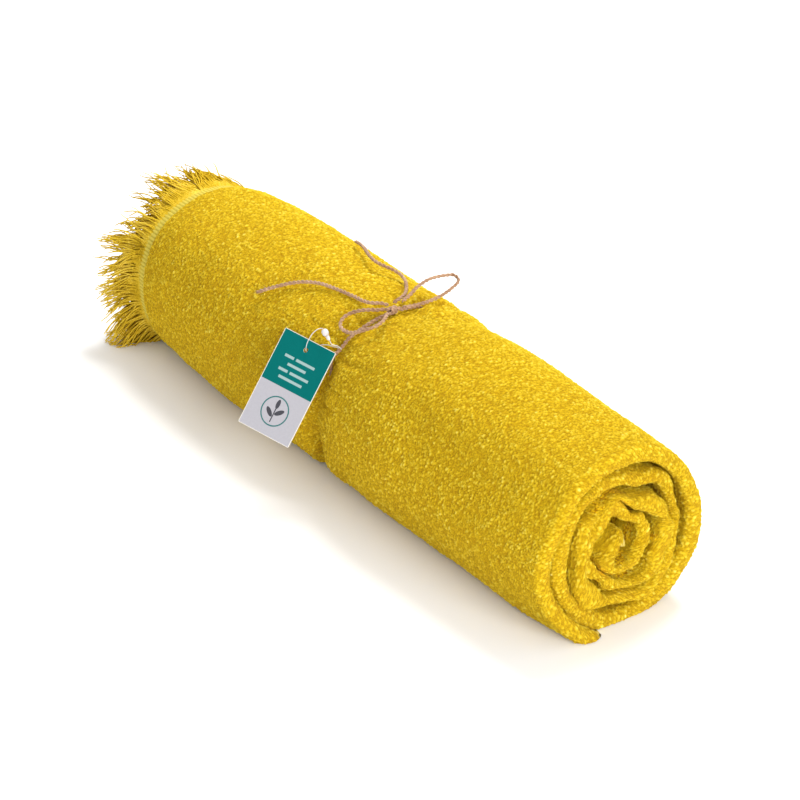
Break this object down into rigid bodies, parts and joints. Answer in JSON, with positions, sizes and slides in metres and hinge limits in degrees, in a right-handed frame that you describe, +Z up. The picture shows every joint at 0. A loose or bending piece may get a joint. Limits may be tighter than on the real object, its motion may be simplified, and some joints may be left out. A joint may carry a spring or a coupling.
{
  "type": "rolled towel",
  "caption": "Terry towel with a fringed end, folded and rolled up, tied with a twine bow that carries a card swing tag.",
  "frame": {"origin": "on the surface that the roll lies on, under the middle of the box of the roll, the fringe and the tag", "axes": "+X along the roll from the fringed end to the folded end, +Z up, and the tag hangs on the -Y side"},
  "size_m": [0.4998, 0.167, 0.1298],
  "materials": {
    "terry": "warm yellow cotton terry, looped pile, matt",
    "hem_weave": "flat-woven cotton band, paler than the pile",
    "fringe_yarn": "loose twisted cotton yarns, matt",
    "jute_twine": "two-ply natural jute, hairy, matt",
    "tag_card": "coated board, printed teal over white, soft sheen",
    "fastener_nylon": "white nylon, glossy"
  },
  "bodies": {
    "bundle": {"towel_cloth": "terry", "hem_band": "hem_weave", "fringe_tuft_01": "fringe_yarn", "fringe_tuft_02": "fringe_yarn", "fringe_tuft_03": "fringe_yarn", "fringe_tuft_04": "fringe_yarn", "fringe_tuft_05": "fringe_yarn", "fringe_tuft_06": "fringe_yarn", "fringe_tuft_07": "fringe_yarn", "fringe_tuft_08": "fringe_yarn", "fringe_tuft_09": "fringe_yarn", "fringe_tuft_10": "fringe_yarn", "fringe_tuft_11": "fringe_yarn", "fringe_tuft_12": "fringe_yarn", "fringe_tuft_13": "fringe_yarn", "fringe_tuft_14": "fringe_yarn", "fringe_tuft_15": "fringe_yarn", "fringe_tuft_16": "fringe_yarn", "fringe_tuft_17": "fringe_yarn", "fringe_tuft_18": "fringe_yarn", "fringe_tuft_19": "fringe_yarn", "fringe_tuft_20": "fringe_yarn", "fringe_tuft_21": "fringe_yarn", "fringe_tuft_22": "fringe_yarn", "fringe_tuft_23": "fringe_yarn", "fringe_tuft_24": "fringe_yarn", "fringe_tuft_25": "fringe_yarn", "fringe_tuft_26": "fringe_yarn", "fringe_tuft_27": "fringe_yarn", "fringe_tuft_28": "fringe_yarn", "fringe_tuft_29": "fringe_yarn", "fringe_tuft_30": "fringe_yarn", "fringe_tuft_31": "fringe_yarn", "fringe_tuft_32": "fringe_yarn", "fringe_tuft_33": "fringe_yarn", "fringe_tuft_34": "fringe_yarn", "fringe_tuft_35": "fringe_yarn", "fringe_tuft_36": "fringe_yarn", "fringe_tuft_37": "fringe_yarn", "fringe_tuft_38": "fringe_yarn", "fringe_tuft_39": "fringe_yarn", "fringe_tuft_40": "fringe_yarn", "fringe_tuft_41": "fringe_yarn", "fringe_tuft_42": "fringe_yarn", "fringe_tuft_43": "fringe_yarn", "twine_band": "jute_twine", "twine_knot": "jute_twine", "twine_loop_left": "jute_twine", "twine_loop_right": "jute_twine", "twine_tail_left": "jute_twine", "twine_tail_right": "jute_twine"},
    "fastener": {"fastener_lock": "fastener_nylon", "fastener_plug": "fastener_nylon", "fastener_loop": "fastener_nylon"},
    "tag": {"tag_card": "tag_card"}
  },
  "joints": [
    {"name": "fastener_swing", "type": "hinge", "parent": "bundle", "child": "fastener", "pos_m": [0.01552, -0.0251, 0.09973], "axis": [0.1929, 0.6898, 0.6978], "range_deg": [-3, 28]},
    {"name": "tag_tilt", "type": "hinge", "parent": "fastener", "child": "tag", "pos_m": [0.00094, -0.03999, 0.09654], "axis": [-0.9219, -0.3442, 0.1781], "range_deg": [-3, 14]}
  ]
}
